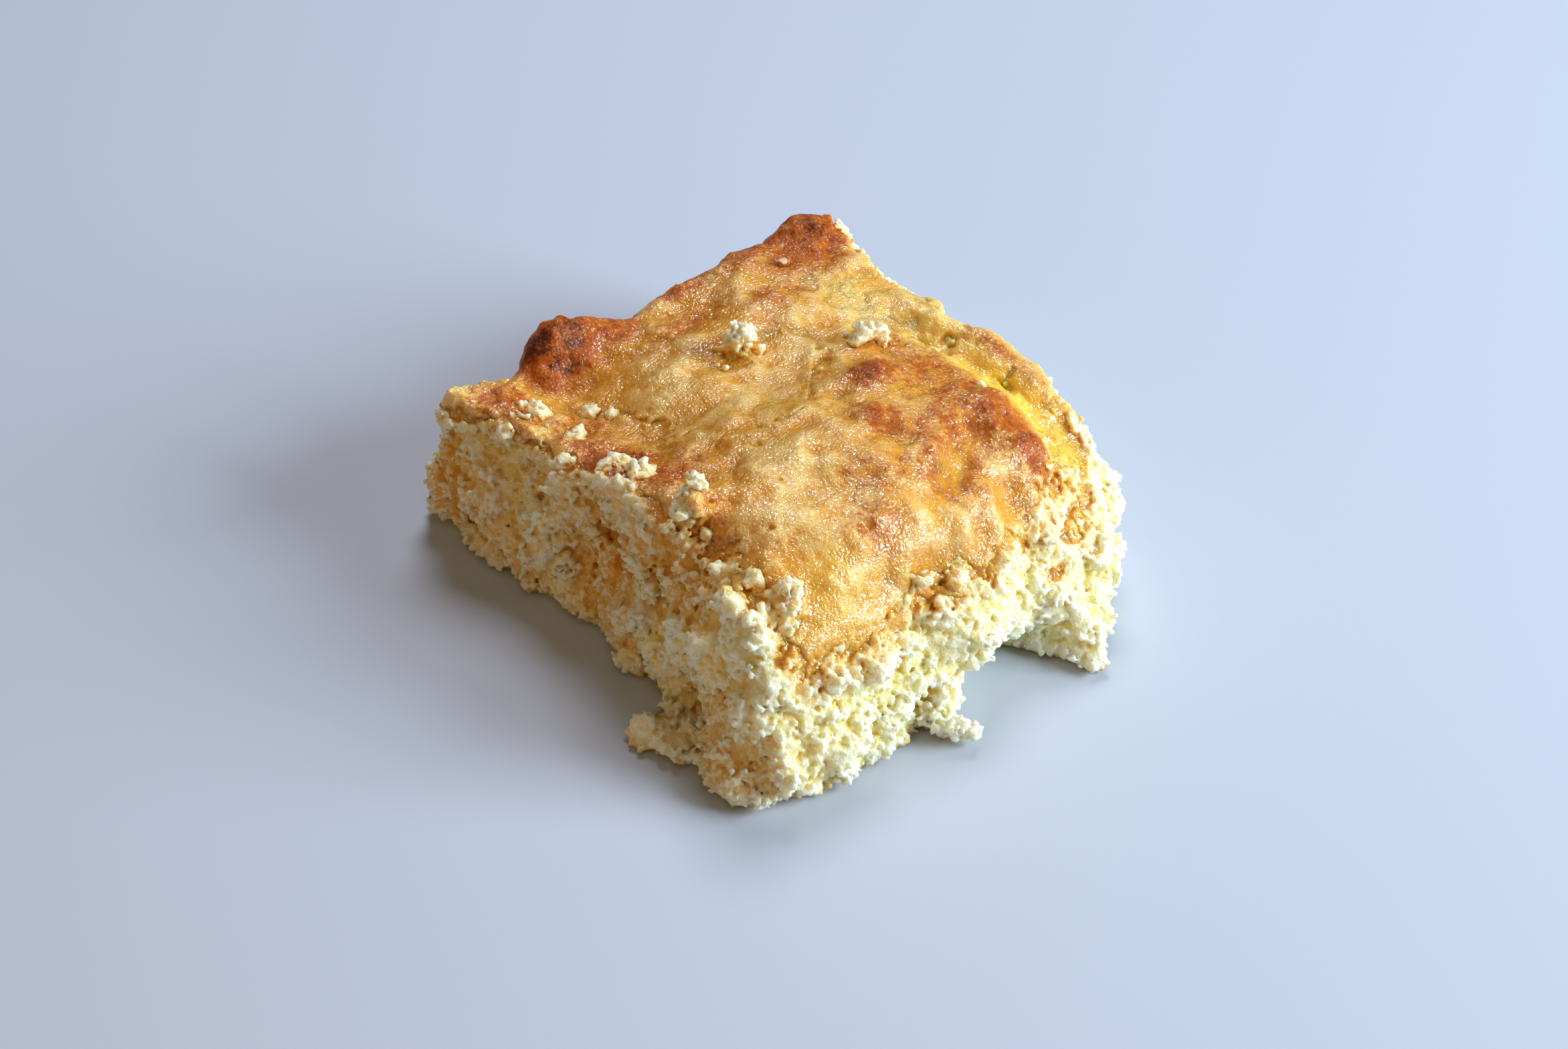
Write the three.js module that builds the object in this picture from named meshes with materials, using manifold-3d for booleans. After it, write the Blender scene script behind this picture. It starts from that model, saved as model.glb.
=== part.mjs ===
// A square of cornbread, cut and torn out of a pan: one solid, millimetres, +Z up.
// It rests on its flat bottom crust, with the origin under the middle of its box.
//   -X  torn side, crumbly, with a deep cleft and a leaning column of crumb
//   -Y  torn side that slopes back to the crust, with an undercut and two feet
//   +X  cut side
//   +Y  side that stood against the pan, smooth, under a dark curled edge

import * as THREE from 'three';
import { mergeVertices } from 'three/addons/utils/BufferGeometryUtils.js';
import Module from 'manifold-3d';

const wasm = await Module();
wasm.setup();

// ---------------------------------------------------------------- driving dimensions

// The plan of the square before its sides are shaped.
const PLAN = { left: -31, right: 40, front: -35, back: 46 };

// Facets along X, Y and Z.
const FACETS = { x: 30, y: 34, z: 13 };

// How far the upright corners are drawn in, as a share of the half width.
const CORNER_PULL = 0.03;

// Each side runs from its foot to the crust; `bow` above 1 keeps it steep low down.
const SIDES = {
  torn: {
    foot: profile([-35, -35.5], [-15, -31], [4, -29.8], [20, -31], [31, -33.5], [46, -34]),
    crust: profile([-35, -29.5], [-12, -28], [20, -27.5], [33, -31], [46, -33.8]),
    bow: profile([-35, 2], [46, 1.6]),
  },
  front: {
    foot: profile([-31, -33.5], [-18, -35.5], [-6, -34.5], [12, -35.5], [26, -34.5], [40, -30]),
    crust: profile([-31, -21.5], [-10, -22.5], [10, -24], [24, -20.5], [40, -13]),
    bow: profile([-31, 2.4], [5, 2.2], [22, 1.9], [40, 1.6]),
  },
  cut: {
    foot: profile([-35, 37], [-15, 40.5], [46, 42]),
    crust: profile([-35, 40], [-16, 40.5], [4, 38.5], [28, 38.5], [46, 40.8]),
    bow: profile([-35, 2], [46, 2]),
  },
  pan: {
    foot: profile([-31, 48], [40, 46]),
    crust: profile([-31, 45.5], [-16, 44], [12, 43], [40, 43]),
    bow: profile([-31, 1.5], [40, 1.5]),
  },
};

// How far the crust rolls down towards an edge, over the last share of the half width.
const EDGE_ROLL = {
  torn: { drop: 1.2, over: 0.14 },
  cut: { drop: 0.6, over: 0.1 },
  front: { drop: 2.4, over: 0.26 },
  pan: { drop: 0.5, over: 0.08 },
};

// Height of the crust along each of its four edges, before it rolls down.
const CRUST_EDGE = {
  torn: profile([-35, 29], [-20, 30.5], [-6, 32], [7, 30], [19, 26.5], [31, 25.5], [46, 25]),
  cut: profile([-35, 27.5], [46, 27]),
  front: profile([-31, 29.5], [-8, 31], [12, 29.5], [25, 28], [40, 27.5]),
  pan: profile([-31, 25], [-16, 20.5], [-3, 23.5], [8, 24], [18, 27], [40, 27.5]),
};

// Mounds (rise above 0) and hollows of the crust: centre, half sizes, turn, rise.
const CRUST_FORMS = [
  { name: 'worn shoulder', x: -30.5, y: -9, rx: 7.5, ry: 8.5, turn: 0, rise: -8.5 },
  { name: 'middle dome', x: 4, y: -4, rx: 24, ry: 20, turn: 0, rise: 3 },
  { name: 'back slope', x: 6, y: 26, rx: 16, ry: 12, turn: 0, rise: 1.5 },
  { name: 'dark curled lump', x: -12.5, y: 42.5, rx: 5.5, ry: 3.6, turn: 8, rise: 8.4 },
  { name: 'tail of the lump', x: -5, y: 43, rx: 5, ry: 3, turn: 0, rise: 2 },
  { name: 'valley before the lump', x: -13, y: 35.5, rx: 9, ry: 3, turn: 6, rise: -1.6 },
  { name: 'small curled bump', x: 10, y: 44, rx: 4.5, ry: 3, turn: 0, rise: 2.2 },
  { name: 'back corner curl', x: 34.6, y: 42.5, rx: 6, ry: 4, turn: -20, rise: 1.8 },
  { name: 'pit', x: 13, y: -18, rx: 7.6, ry: 2.4, turn: 30, rise: -3.4 },
  { name: 'lip over the pit', x: 11, y: -13.8, rx: 6.5, ry: 2, turn: 30, rise: 0.9 },
  { name: 'trench, back end', x: 31.6, y: 10, rx: 1.9, ry: 7, turn: 18, rise: -2.8 },
  { name: 'trench, front end', x: 33.4, y: -7, rx: 2.3, ry: 11, turn: 3, rise: -4.2 },
  { name: 'rim beyond the trench', x: 37.6, y: -4, rx: 2, ry: 15, turn: 0, rise: 1.2 },
  { name: 'blister', x: 16.2, y: 3.6, rx: 5, ry: 3, turn: 10, rise: 1.3 },
  { name: 'blister', x: 9, y: -6, rx: 3, ry: 4, turn: 0, rise: 1.2 },
  { name: 'blister', x: 25, y: -12, rx: 3, ry: 6, turn: 0, rise: 1.5 },
  { name: 'blister', x: 26, y: -19, rx: 3, ry: 3, turn: 0, rise: 1.2 },
  { name: 'blister', x: 1.6, y: -15, rx: 5, ry: 3.2, turn: 20, rise: 1 },
  { name: 'blister', x: -5.5, y: -21, rx: 4, ry: 3, turn: 0, rise: 1 },
  { name: 'dip', x: 8, y: 14, rx: 10, ry: 5, turn: 15, rise: -1.1 },
  { name: 'dip', x: -8, y: -12, rx: 5, ry: 6, turn: 0, rise: -1 },
  { name: 'dip', x: 20, y: 18, rx: 7, ry: 3, turn: 10, rise: -0.9 },
];

// Bulges (out above 0) and hollows of the sides: place along the side and height,
// half sizes, and how far they stand out.
const SIDE_FORMS = [
  { name: 'corner foot', side: 'torn', at: -27, z: 1, wide: 7, tall: 7, out: 3.4 },
  { name: 'corner foot', side: 'front', at: -26, z: 5, wide: 7, tall: 7, out: 1.6 },
  { name: 'column, top', side: 'torn', at: 16.5, z: 18, wide: 2.8, tall: 6, out: 3.2 },
  { name: 'column, bottom', side: 'torn', at: 21, z: 6, wide: 3.6, tall: 6, out: 3 },
  { name: 'cleft', side: 'torn', at: 10, z: 17, wide: 2.8, tall: 6.5, out: -5 },
  { name: 'cleft, bottom', side: 'torn', at: 13, z: 8, wide: 2.4, tall: 5, out: -3.4 },
  { name: 'lump by the pan corner', side: 'torn', at: 34, z: 14, wide: 4, tall: 4.5, out: 2.4 },
  { name: 'hollow below the crust', side: 'torn', at: 27, z: 18.5, wide: 3.4, tall: 4.2, out: -4.6 },
  { name: 'ledge of crust', side: 'torn', at: 24, z: 25.5, wide: 7, tall: 1.8, out: 2 },
  { name: 'hollow beside the cleft', side: 'torn', at: 3.5, z: 20, wide: 3, tall: 4, out: -2.4 },
  { name: 'arch', side: 'torn', at: -3.4, z: 11, wide: 2.6, tall: 6, out: 2.8 },
  { name: 'hole in the arch', side: 'torn', at: -8.8, z: 13, wide: 2.2, tall: 3.2, out: -4.4 },
  { name: 'cluster', side: 'torn', at: -14, z: 16, wide: 3.2, tall: 3.2, out: 2.6 },
  { name: 'hollow at the foot', side: 'torn', at: -16.5, z: 3, wide: 3.6, tall: 3.4, out: -3 },
  { name: 'undercut', side: 'front', at: 13.5, z: 1, wide: 7.5, tall: 6.6, out: -11 },
  { name: 'lip of the undercut', side: 'front', at: 9, z: 11, wide: 9, tall: 3, out: 2.4 },
  { name: 'right foot', side: 'front', at: 29, z: 0, wide: 4.5, tall: 7, out: 8 },
  { name: 'right bulge', side: 'front', at: 36, z: 13, wide: 6, tall: 8, out: 5 },
  { name: 'crack below the crust', side: 'front', at: 3, z: 23, wide: 9, tall: 1.6, out: -1.6 },
  { name: 'ledge below the crack', side: 'front', at: 8, z: 19, wide: 8, tall: 2.4, out: 1.4 },
  { name: 'front end', side: 'cut', at: -26, z: 13, wide: 10, tall: 9, out: 5.8 },
  { name: 'overhang of the lump', side: 'pan', at: -14, z: 26, wide: 6, tall: 4, out: 2.6 },
];

// Crags: clumps of crumb and flakes fused to the piece, `size` across.
const NAMED_CRAGS = [
  { name: 'clump by the foot', x: -38.4, y: -12, z: 2.3, size: 8.4, flat: 0.8 },
  { name: 'bridge to the clump', x: -34, y: -13.2, z: 0.9, size: 10, flat: 0.36 },
  { name: 'beak of the dark lump', x: -18.4, y: 43.6, z: 27.6, size: 5, flat: 0.6 },
  { name: 'small foot', x: -3, y: -37, z: 2.2, size: 7.5, flat: 0.8 },
  { name: 'toe of the right foot', x: 29.6, y: -41.4, z: 2.2, size: 6, flat: 0.8 },
  { name: 'crumb on the crust', x: 6.4, y: 23.2, z: 29.4, size: 5.6, flat: 0.85 },
  { name: 'crumb on the crust', x: 22, y: 13.2, z: 29.8, size: 3.8, flat: 1 },
  { name: 'crumb on the crust', x: 24.4, y: 12.2, z: 29.6, size: 3, flat: 1 },
  { name: 'crumb on the crust', x: -23.2, y: -1.2, z: 32.2, size: 3.4, flat: 1 },
  { name: 'slab on the shoulder', x: -23, y: -23.4, z: 26.2, size: 4.6, flat: 1.5 },
  { name: 'slab on the shoulder', x: -29.2, y: -23.4, z: 24.4, size: 5.2, flat: 1.2 },
  { name: 'slab by the crack', x: -30, y: -18.6, z: 27.2, size: 4.2, flat: 1.2 },
  { name: 'slab on the front', x: -20, y: -30.8, z: 16.4, size: 4.4, flat: 0.9 },
  { name: 'cluster by the arch', x: -31.4, y: -14, z: 16.2, size: 4.4, flat: 1 },
  { name: 'flake at the crust edge', x: -26.8, y: 28.6, z: 22.6, size: 5, flat: 0.8 },
  { name: 'flake at the crust edge', x: -26.6, y: 12, z: 27.6, size: 5, flat: 0.6 },
  { name: 'flake at the crust edge', x: -24.6, y: -3.4, z: 30.4, size: 4.4, flat: 1.1 },
  { name: 'clump on the pan corner', x: -31, y: 42.6, z: 24.6, size: 4.4, flat: 1 },
];

// Seeded crags by side: how many, and the band of height that they lie in.
const SCATTERED_CRAGS = [
  { side: 'torn', count: 13, low: 1, high: 20, size: 4.4 },
  { side: 'front', count: 15, low: 1, high: 16, size: 4.4 },
  { side: 'cut', count: 12, low: 1, high: 24, size: 4.4 },
];
const EDGE_CRAGS = [
  { side: 'torn', count: 8, size: 3.6 },
  { side: 'front', count: 6, size: 3.2 },
];
const CRAG_SEED = 41;
const CRAG_SINK = 0.28;

// The flat underside is cut this far up the piece.
const UNDERSIDE = 0.1;

// Depth of the relief, crumb and crust apart, over two sizes of lump.
const RELIEF = {
  coarse: { lump: 8, crumb: 4.4, crust: 0.9 },
  fine: { lump: 4.2, crumb: 2.8, crust: 0.5 },
};
const PAN_SIDE_SHARE = 0.35;

// Where the crust came away from the front shoulder and left it smooth.
const SMOOTH_SHOULDER = { at: -0.45, level: 0.85, wide: 0.4, tall: 0.25 };

const CRUMB_COLOUR = '#e6c878';

// ---------------------------------------------------------------- small mathematics

// A smooth function through a few [place, value] pairs, level beyond its ends.
function profile(...points) {
  return (place) => {
    const next = points.findIndex(([end]) => end > place);
    if (next === 0) return points[0][1];
    if (next < 0) return points[points.length - 1][1];
    const [start, low] = points[next - 1];
    const [end, high] = points[next];
    return THREE.MathUtils.lerp(low, high, THREE.MathUtils.smoothstep(place, start, end));
  };
}

// A number from 0 to 1 for each cell of a lattice.
function cellValue(i, j, k, seed) {
  let bits = Math.imul(i, 374761393) ^ Math.imul(j, 668265263);
  bits ^= Math.imul(k, 1274126177) ^ Math.imul(seed, 974634777);
  bits = Math.imul(bits ^ (bits >>> 13), 1103515245);
  bits = Math.imul(bits ^ (bits >>> 15), 668265263);
  return ((bits ^ (bits >>> 16)) >>> 0) / 2 ** 32;
}

// Smooth value noise from -1 to 1 with waves of the given size.
function noise(point, size, seed) {
  const cell = ['x', 'y', 'z'].map((axis) => Math.floor(point[axis] / size));
  const part = ['x', 'y', 'z'].map((axis, n) => point[axis] / size - cell[n]);
  const ease = part.map((t) => t * t * (3 - 2 * t));
  let sum = 0;
  for (let corner = 0; corner < 8; corner += 1) {
    const step = [corner & 1, (corner >> 1) & 1, corner >> 2];
    const share = step.reduce((all, s, n) => all * (s ? ease[n] : 1 - ease[n]), 1);
    sum += share * cellValue(cell[0] + step[0], cell[1] + step[1], cell[2] + step[2], seed);
  }
  return 2 * sum - 1;
}

// Rounded lumps of the given size: 1 at a lump's middle, 0 in the clefts between.
function lumps(point, size, seed) {
  const cell = ['x', 'y', 'z'].map((axis) => Math.floor(point[axis] / size));
  let nearest = Infinity;
  for (let n = 0; n < 27; n += 1) {
    const [i, j, k] = [(n % 3) - 1, (Math.floor(n / 3) % 3) - 1, Math.floor(n / 9) - 1];
    const [a, b, c] = [cell[0] + i, cell[1] + j, cell[2] + k];
    const dx = (a + cellValue(a, b, c, seed)) * size - point.x;
    const dy = (b + cellValue(a, b, c, seed + 1)) * size - point.y;
    const dz = (c + cellValue(a, b, c, seed + 2)) * size - point.z;
    nearest = Math.min(nearest, Math.hypot(dx, dy, dz) / size);
  }
  return 1 - Math.min(nearest, 1);
}

// A smooth hump, 1 in the middle and under 0.02 beyond twice its half size.
const hump = (across, along) => Math.exp(-(across * across + along * along));

function seededDraw(seed) {
  let count = 0;
  return () => {
    count += 1;
    return cellValue(count, 0, 0, seed);
  };
}

// ---------------------------------------------------------------- form of the piece

function crustHeight(x, y) {
  const across = THREE.MathUtils.inverseLerp(PLAN.left, PLAN.right, x);
  const along = THREE.MathUtils.inverseLerp(PLAN.front, PLAN.back, y);
  const { lerp } = THREE.MathUtils;
  const betweenSides = lerp(CRUST_EDGE.torn(y), CRUST_EDGE.cut(y), across);
  const betweenEnds = lerp(CRUST_EDGE.front(x), CRUST_EDGE.pan(x), along);
  const nearCorners = lerp(CRUST_EDGE.torn(PLAN.front), CRUST_EDGE.cut(PLAN.front), across);
  const farCorners = lerp(CRUST_EDGE.torn(PLAN.back), CRUST_EDGE.cut(PLAN.back), across);
  let height = betweenSides + betweenEnds - lerp(nearCorners, farCorners, along);
  for (const form of CRUST_FORMS) {
    const turn = THREE.MathUtils.degToRad(form.turn);
    const dx = x - form.x;
    const dy = y - form.y;
    const u = (dx * Math.cos(turn) + dy * Math.sin(turn)) / form.rx;
    const v = (dy * Math.cos(turn) - dx * Math.sin(turn)) / form.ry;
    height += form.rise * hump(u, v);
  }
  return height;
}

function edgeRoll(s, t) {
  const { torn, cut, front, pan } = EDGE_ROLL;
  const roll = ({ drop, over }, reach) => drop * Math.max(0, (reach - 1 + over) / over) ** 2;
  return roll(torn, -s) + roll(cut, s) + roll(front, -t) + roll(pan, t);
}

function sideLine(side, place, level) {
  const { foot, crust, bow } = SIDES[side];
  return THREE.MathUtils.lerp(foot(place), crust(place), level ** bow(place));
}

function sideForms(side, place, height) {
  let out = 0;
  for (const form of SIDE_FORMS.filter((one) => one.side === side)) {
    out += form.out * hump((place - form.at) / form.wide, (height - form.z) / form.tall);
  }
  return out;
}

// Carries a point of the cube (s and t from -1 to 1, level from 0 to 1) into the piece.
function shape(s, t, level) {
  const pulledS = s * (1 - CORNER_PULL * t ** 4);
  const pulledT = t * (1 - CORNER_PULL * s ** 4);
  const across = (pulledS + 1) / 2;
  const along = (pulledT + 1) / 2;
  const planX = THREE.MathUtils.lerp(PLAN.left, PLAN.right, (s + 1) / 2);
  const planY = THREE.MathUtils.lerp(PLAN.front, PLAN.back, (t + 1) / 2);
  const left = sideLine('torn', planY, level);
  const right = sideLine('cut', planY, level);
  const front = sideLine('front', planX, level);
  const back = sideLine('pan', planX, level);
  const point = new THREE.Vector3();
  point.x = THREE.MathUtils.lerp(left, right, across);
  point.y = THREE.MathUtils.lerp(front, back, along);
  point.z = level * (crustHeight(point.x, point.y) - edgeRoll(s, t));
  point.x -= sideForms('torn', planY, point.z) * THREE.MathUtils.smoothstep(-s, 0.6, 1);
  point.x += sideForms('cut', planY, point.z) * THREE.MathUtils.smoothstep(s, 0.6, 1);
  point.y -= sideForms('front', planX, point.z) * THREE.MathUtils.smoothstep(-t, 0.6, 1);
  point.y += sideForms('pan', planX, point.z) * THREE.MathUtils.smoothstep(t, 0.8, 1);
  return point;
}

// Share of rough crumb (1) against smooth crust (0) at a point of the cube.
function crumbShare(s, t, level) {
  const belowCrust = 1 - THREE.MathUtils.smoothstep(level, 0.93, 1);
  const awayFromPan = 1 - THREE.MathUtils.smoothstep(t, 0.9, 1) * (1 - PAN_SIDE_SHARE);
  const { at, level: middle, wide, tall } = SMOOTH_SHOULDER;
  const onShoulder = hump((s - at) / wide, (level - middle) / tall) * (t < 0);
  return belowCrust * awayFromPan * (1 - onShoulder);
}

function buildBody() {
  const box = new THREE.BoxGeometry(2, 2, 1, FACETS.x, FACETS.y, FACETS.z);
  box.deleteAttribute('normal');
  box.deleteAttribute('uv');
  const body = mergeVertices(box);
  const places = body.getAttribute('position');
  const cube = places.clone();
  for (let n = 0; n < places.count; n += 1) {
    const point = shape(cube.getX(n), cube.getY(n), cube.getZ(n) + 0.5);
    places.setXYZ(n, point.x, point.y, point.z);
  }
  body.computeVertexNormals();
  const normals = body.getAttribute('normal');
  for (let n = 0; n < places.count; n += 1) {
    const level = cube.getZ(n) + 0.5;
    const point = new THREE.Vector3().fromBufferAttribute(places, n);
    const outward = new THREE.Vector3().fromBufferAttribute(normals, n);
    const share = crumbShare(cube.getX(n), cube.getY(n), level);
    let depth = 0;
    for (const { lump, crumb, crust } of Object.values(RELIEF)) {
      const grain = lumps(point, lump, CRAG_SEED) - 0.45;
      depth += THREE.MathUtils.lerp(crust, crumb, share) * grain;
    }
    if (level === 0) outward.z = 0;
    point.addScaledVector(outward, depth);
    places.setXYZ(n, point.x, point.y, level === 0 ? 0 : point.z);
  }
  body.deleteAttribute('normal');
  return body;
}

// ---------------------------------------------------------------- crags

function buildCrag(centre, size, flat, draw) {
  const ball = new THREE.IcosahedronGeometry(size / 2, 1);
  ball.deleteAttribute('normal');
  ball.deleteAttribute('uv');
  const crag = mergeVertices(ball, size / 1000);
  const places = crag.getAttribute('position');
  const seed = Math.floor(draw() * 1000);
  const turn = new THREE.Euler(draw() * Math.PI, draw() * Math.PI, draw() * Math.PI);
  const stretch = new THREE.Vector3(0.75 + 0.75 * draw(), 0.85, 0.6 + 0.4 * draw());
  for (let n = 0; n < places.count; n += 1) {
    const point = new THREE.Vector3().fromBufferAttribute(places, n);
    point.multiplyScalar(1 + 0.5 * noise(point, size * 0.42, seed));
    point.multiply(stretch);
    point.applyEuler(turn);
    point.z *= flat;
    places.setXYZ(n, point.x + centre.x, point.y + centre.y, point.z + centre.z);
  }
  return crag;
}

// A point just under a side's surface: `share` of the way along it, at a level.
function underSurface(side, share, level, depth) {
  const across = THREE.MathUtils.lerp(-0.93, 0.93, share);
  if (side === 'torn') return shape(-1, across, level).add({ x: depth, y: 0, z: 0 });
  if (side === 'cut') return shape(1, across, level).add({ x: -depth, y: 0, z: 0 });
  return shape(across, -1, level).add({ x: 0, y: depth, z: 0 });
}

function buildCrags() {
  const draw = seededDraw(CRAG_SEED);
  const crags = NAMED_CRAGS.map((one) => buildCrag(one, one.size, one.flat, draw));
  for (const { side, count, low, high, size } of SCATTERED_CRAGS) {
    for (let n = 0; n < count; n += 1) {
      const level = THREE.MathUtils.lerp(low, high, draw()) / 30;
      const centre = underSurface(side, (n + draw()) / count, level, size * CRAG_SINK);
      crags.push(buildCrag(centre, size * (0.7 + 0.6 * draw()), 1, draw));
    }
  }
  for (const { side, count, size } of EDGE_CRAGS) {
    for (let n = 0; n < count; n += 1) {
      const centre = underSurface(side, (n + draw()) / count, 0.92, size * CRAG_SINK);
      crags.push(buildCrag(centre, size * (0.7 + 0.6 * draw()), 0.8, draw));
    }
  }
  return crags;
}

// ---------------------------------------------------------------- joining

function toSolid(geometry) {
  return new wasm.Manifold(new wasm.Mesh({
    numProp: 3,
    vertProperties: new Float32Array(geometry.getAttribute('position').array),
    triVerts: new Uint32Array(geometry.index.array),
  }));
}

function toGeometry(solid) {
  const mesh = solid.getMesh();
  const geometry = new THREE.BufferGeometry();
  geometry.setAttribute('position', new THREE.BufferAttribute(mesh.vertProperties, 3));
  geometry.setIndex(new THREE.BufferAttribute(mesh.triVerts, 1));
  return geometry;
}

// Joins everything, trims it at the surface it rests on and keeps the one large body.
function joinPiece() {
  let joined = toSolid(buildBody());
  for (const crag of buildCrags()) {
    joined = joined.add(toSolid(crag));
  }
  const resting = joined.trimByPlane([0, 0, 1], UNDERSIDE);
  const bodies = resting.decompose().sort((a, b) => b.volume() - a.volume());
  return toGeometry(bodies[0]);
}

function centreOnFloor(geometry) {
  geometry.computeBoundingBox();
  const middle = geometry.boundingBox.getCenter(new THREE.Vector3());
  geometry.translate(-middle.x, -middle.y, -geometry.boundingBox.min.z);
  geometry.computeVertexNormals();
  return geometry;
}

const cornbread = new THREE.Mesh(
  centreOnFloor(joinPiece()),
  new THREE.MeshStandardMaterial({ color: CRUMB_COLOUR, roughness: 0.75, metalness: 0 }),
);
cornbread.name = 'cornbread';

const piece = new THREE.Group();
piece.add(cornbread);

export default piece;
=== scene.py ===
"""The looks of a square of cornbread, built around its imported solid.

The solid is turned into a field of distances on a fine grid. Lumps, hollows and grains of crumb are carved
into that field and two closed meshes come out of it: the crumb, and the browned crust that lies on it.
Lengths are millimetres until a mesh is handed to Blender.
"""

import math

import bpy
import numpy as np
import openvdb
from mathutils import Matrix, Vector


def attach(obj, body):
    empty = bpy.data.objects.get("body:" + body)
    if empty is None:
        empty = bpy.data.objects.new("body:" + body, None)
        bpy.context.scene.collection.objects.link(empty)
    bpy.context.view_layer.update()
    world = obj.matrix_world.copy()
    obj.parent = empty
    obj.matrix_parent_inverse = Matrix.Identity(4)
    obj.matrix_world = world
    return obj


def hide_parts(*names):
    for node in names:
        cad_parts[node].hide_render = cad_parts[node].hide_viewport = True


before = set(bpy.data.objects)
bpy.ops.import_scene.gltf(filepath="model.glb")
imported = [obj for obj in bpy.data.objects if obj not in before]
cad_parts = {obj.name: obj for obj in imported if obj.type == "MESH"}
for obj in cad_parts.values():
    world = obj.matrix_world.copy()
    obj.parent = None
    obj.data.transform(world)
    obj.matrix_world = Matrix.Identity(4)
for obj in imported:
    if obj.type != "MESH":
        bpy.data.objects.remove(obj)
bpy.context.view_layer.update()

MM = 0.001
NODE = "cornbread"

# The picture's frame, and the lens in pixels that the plate's ellipse fits.
PICTURE = (2343, 1568)
SENSOR_MM = 23.6
FOCAL_PIXELS = 5960
CAMERA_MM = Vector((-306.85, -326.47, 395.35))
AZIMUTH, ELEVATION, ROLL = map(math.radians, (-43.0, 40.74, 4.37))

# The grid's step, how far from the surface it holds distances, and how far from it the carving reaches.
VOXEL = 0.3
BAND_MM = 4.2
CARVED_MM = 3.2
# The radius that smooths the facets of the solid, and the most that it takes off, so that thin parts stay.
SMOOTHING_MM = 1.0
KEPT_MM = 0.5
# The radius within which a place counts as a hollow or as standing out, for the painted light and shade.
HOLLOW_MM = 1.3
# The most triangles in a piece.
TRIANGLES = 196000

# The thickness of the crust, and how much deeper the crumb lies under it.
CRUST_MM = 2.2
UNDER_CRUST_MM = 0.5
# Grains joined to torn crumb: how many to a square millimetre, smallest and largest half size, height.
GRAINS = [(1.1, (0.3, 0.46), 0.3), (2.8, (0.2, 0.36), 0.0)]
LOWEST_GRAIN_MM = 0.6
# Grains that make up a pale crumb: how many for a reach of 1 mm, smallest and largest half size.
CRUMB_GRAINS = 9
CRUMB_GRAIN_SIZES = (0.26, 0.56)
# Small pale crumbs strewn along the edge of the crust on the torn sides: how many, smallest and largest
# reach, the largest x and y, the least height, and the least distance from the middle.
STREWN = 20
STREWN_REACH = (0.7, 1.5)
STREWN_X, STREWN_Y = 14, 36
STREWN_HEIGHT = 12
STREWN_OUT = 27
SEED = 7


# ---------------------------------------------------------------- camera, floor and light

def add_camera():
    """The camera that the ellipse of the plate gives."""
    data = bpy.data.cameras.new("camera")
    data.sensor_width = SENSOR_MM
    data.sensor_fit = "HORIZONTAL"
    data.lens = FOCAL_PIXELS * SENSOR_MM / PICTURE[0]
    data.clip_start, data.clip_end = 0.01, 20
    camera = bpy.data.objects.new("camera", data)
    bpy.context.scene.collection.objects.link(camera)
    back = Vector((math.sin(AZIMUTH) * math.cos(ELEVATION),
                   -math.cos(AZIMUTH) * math.cos(ELEVATION),
                   math.sin(ELEVATION)))
    level = Vector((math.cos(AZIMUTH), math.sin(AZIMUTH), 0))
    up = back.cross(level)
    right = level * math.cos(ROLL) + up * math.sin(ROLL)
    up = up * math.cos(ROLL) - level * math.sin(ROLL)
    turn = Matrix((right, up, back)).transposed().to_4x4()
    camera.matrix_world = Matrix.Translation(CAMERA_MM * MM) @ turn
    bpy.context.scene.camera = camera


def add_floor():
    """A plain pale floor."""
    bpy.ops.mesh.primitive_plane_add(size=6)
    floor = bpy.context.object
    floor.name = "floor"
    material = bpy.data.materials.new("floor")
    material.use_nodes = True
    shader = material.node_tree.nodes["Principled BSDF"]
    shader.inputs["Base Color"].default_value = (0.5, 0.57, 0.7, 1)
    shader.inputs["Roughness"].default_value = 0.6
    floor.data.materials.append(material)


def add_area(name, place, size, power, colour):
    """A round lamp that faces the piece; its place and size are in metres."""
    data = bpy.data.lights.new(name, "AREA")
    data.shape = "DISK"
    data.size = size
    data.energy = power
    data.color = colour
    light = bpy.data.objects.new(name, data)
    bpy.context.scene.collection.objects.link(light)
    light.location = place
    light.rotation_euler = (-Vector(place)).to_track_quat("-Z", "Y").to_euler()


def add_light():
    """Low daylight from the right, a patch of sky behind, a weak lamp above, and a dim warm room."""
    add_area("window", (0.52, -0.54, 0.38), 0.5, 10.4, (0.82, 0.93, 1.0))
    add_area("sky", (0.31, 0.37, 0.7), 0.34, 3.4, (0.92, 0.92, 1.0))
    add_area("lamp", (-0.24, -0.2, 0.76), 0.3, 0.3, (1.0, 0.84, 0.66))
    add_area("room side", (-0.55, -0.08, 0.3), 0.4, 0.6, (1.0, 0.66, 0.28))
    world = bpy.data.worlds.new("room")
    world.use_nodes = True
    world.node_tree.nodes["Background"].inputs[0].default_value = (1.0, 0.78, 0.58, 1)
    world.node_tree.nodes["Background"].inputs[1].default_value = 0.055
    bpy.context.scene.world = world
    bpy.context.scene.view_settings.view_transform = "Standard"


# ---------------------------------------------------------------- fields on a grid

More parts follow.
